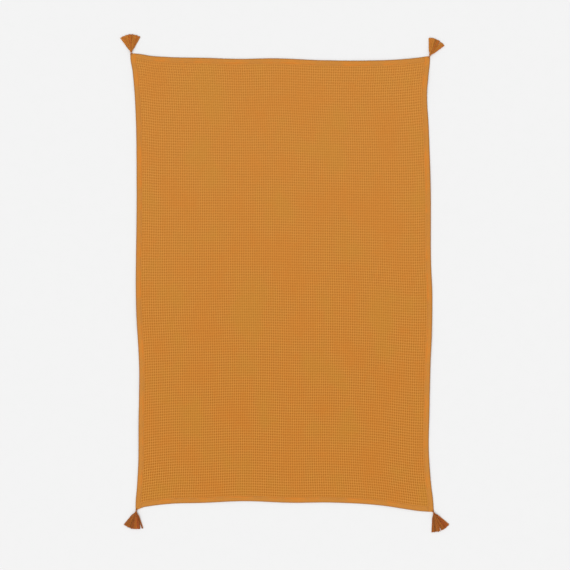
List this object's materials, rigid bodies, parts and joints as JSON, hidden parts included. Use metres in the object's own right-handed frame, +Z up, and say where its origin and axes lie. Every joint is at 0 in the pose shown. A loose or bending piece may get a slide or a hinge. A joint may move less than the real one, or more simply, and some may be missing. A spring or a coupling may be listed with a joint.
{
  "type": "throw blanket",
  "caption": "Cotton throw in waffle weave with smooth sewn hems and a fanned tassel at each corner, laid flat; it folds in half and its tassels swing and lift.",
  "frame": {"origin": "middle of the throw, on the surface that it lies on", "axes": "+X across the throw, +Y along its length towards the far end, +Z up"},
  "size_m": [1.4351, 2.1727, 0.0101],
  "materials": {
    "waffle_cloth": "matt cotton waffle weave, mustard",
    "hem_cloth": "matt plain-woven cotton, mustard",
    "sewing_thread": "cotton sewing thread",
    "tassel_yarn": "loose cotton yarn, a little redder and darker than the cloth",
    "binding_thread": "cotton thread, wound tight",
    "loop_thread": "twisted cotton thread"
  },
  "bodies": {
    "near_half": {"near_panel": "waffle_cloth", "near_hem": "hem_cloth", "near_hem_stitching": "sewing_thread", "left_hem_near": "hem_cloth", "left_hem_near_stitching": "sewing_thread", "right_hem_near": "hem_cloth", "right_hem_near_stitching": "sewing_thread", "near_left_knot": "binding_thread", "near_right_knot": "binding_thread"},
    "far_half": {"far_panel": "waffle_cloth", "far_hem": "hem_cloth", "far_hem_stitching": "sewing_thread", "left_hem_far": "hem_cloth", "left_hem_far_stitching": "sewing_thread", "right_hem_far": "hem_cloth", "right_hem_far_stitching": "sewing_thread", "far_left_knot": "binding_thread", "far_right_knot": "binding_thread"},
    "near_left_loop": {"near_left_loop": "loop_thread"},
    "near_left_tassel": {"near_left_tassel_head": "tassel_yarn", "near_left_tassel_binding": "binding_thread", "near_left_tassel_skirt": "tassel_yarn"},
    "near_right_loop": {"near_right_loop": "loop_thread"},
    "near_right_tassel": {"near_right_tassel_head": "tassel_yarn", "near_right_tassel_binding": "binding_thread", "near_right_tassel_skirt": "tassel_yarn"},
    "far_right_loop": {"far_right_loop": "loop_thread"},
    "far_right_tassel": {"far_right_tassel_head": "tassel_yarn", "far_right_tassel_binding": "binding_thread", "far_right_tassel_skirt": "tassel_yarn"},
    "far_left_loop": {"far_left_loop": "loop_thread"},
    "far_left_tassel": {"far_left_tassel_head": "tassel_yarn", "far_left_tassel_binding": "binding_thread", "far_left_tassel_skirt": "tassel_yarn"}
  },
  "joints": [
    {"name": "fold", "type": "hinge", "parent": "near_half", "child": "far_half", "pos_m": [0, 0, 0.0108], "axis": [1, 0, 0], "range_deg": [0, 180]},
    {"name": "near_left_swing", "type": "hinge", "parent": "near_half", "child": "near_left_loop", "pos_m": [-0.6428, -0.9876, 0.0052], "axis": [0, 0, 1], "range_deg": [-114.3, 45.7]},
    {"name": "near_left_lift", "type": "hinge", "parent": "near_left_loop", "child": "near_left_tassel", "pos_m": [-0.64391, -0.9935, 0.0052], "axis": [0.9826, -0.1857, 0], "range_deg": [-90, 0]},
    {"name": "near_right_swing", "type": "hinge", "parent": "near_half", "child": "near_right_loop", "pos_m": [0.6493, -0.9942, 0.0052], "axis": [0, 0, 1], "range_deg": [-58.7, 101.3]},
    {"name": "near_right_lift", "type": "hinge", "parent": "near_right_loop", "child": "near_right_tassel", "pos_m": [0.65171, -0.99969, 0.0052], "axis": [0.9157, 0.4019, 0], "range_deg": [-90, 0]},
    {"name": "far_right_swing", "type": "hinge", "parent": "far_half", "child": "far_right_loop", "pos_m": [0.6323, 0.9845, 0.0052], "axis": [0, 0, 1], "range_deg": [-98.7, 61.3]},
    {"name": "far_right_lift", "type": "hinge", "parent": "far_right_loop", "child": "far_right_tassel", "pos_m": [0.63496, 0.98988, 0.0052], "axis": [-0.8965, 0.4431, 0], "range_deg": [-90, 0]},
    {"name": "far_left_swing", "type": "hinge", "parent": "far_half", "child": "far_left_loop", "pos_m": [-0.6659, 0.9976, 0.0052], "axis": [0, 0, 1], "range_deg": [-38.6, 121.4]},
    {"name": "far_left_lift", "type": "hinge", "parent": "far_left_loop", "child": "far_left_tassel", "pos_m": [-0.66628, 1.00359, 0.0052], "axis": [-0.998, -0.0628, 0], "range_deg": [-90, 0]}
  ]
}
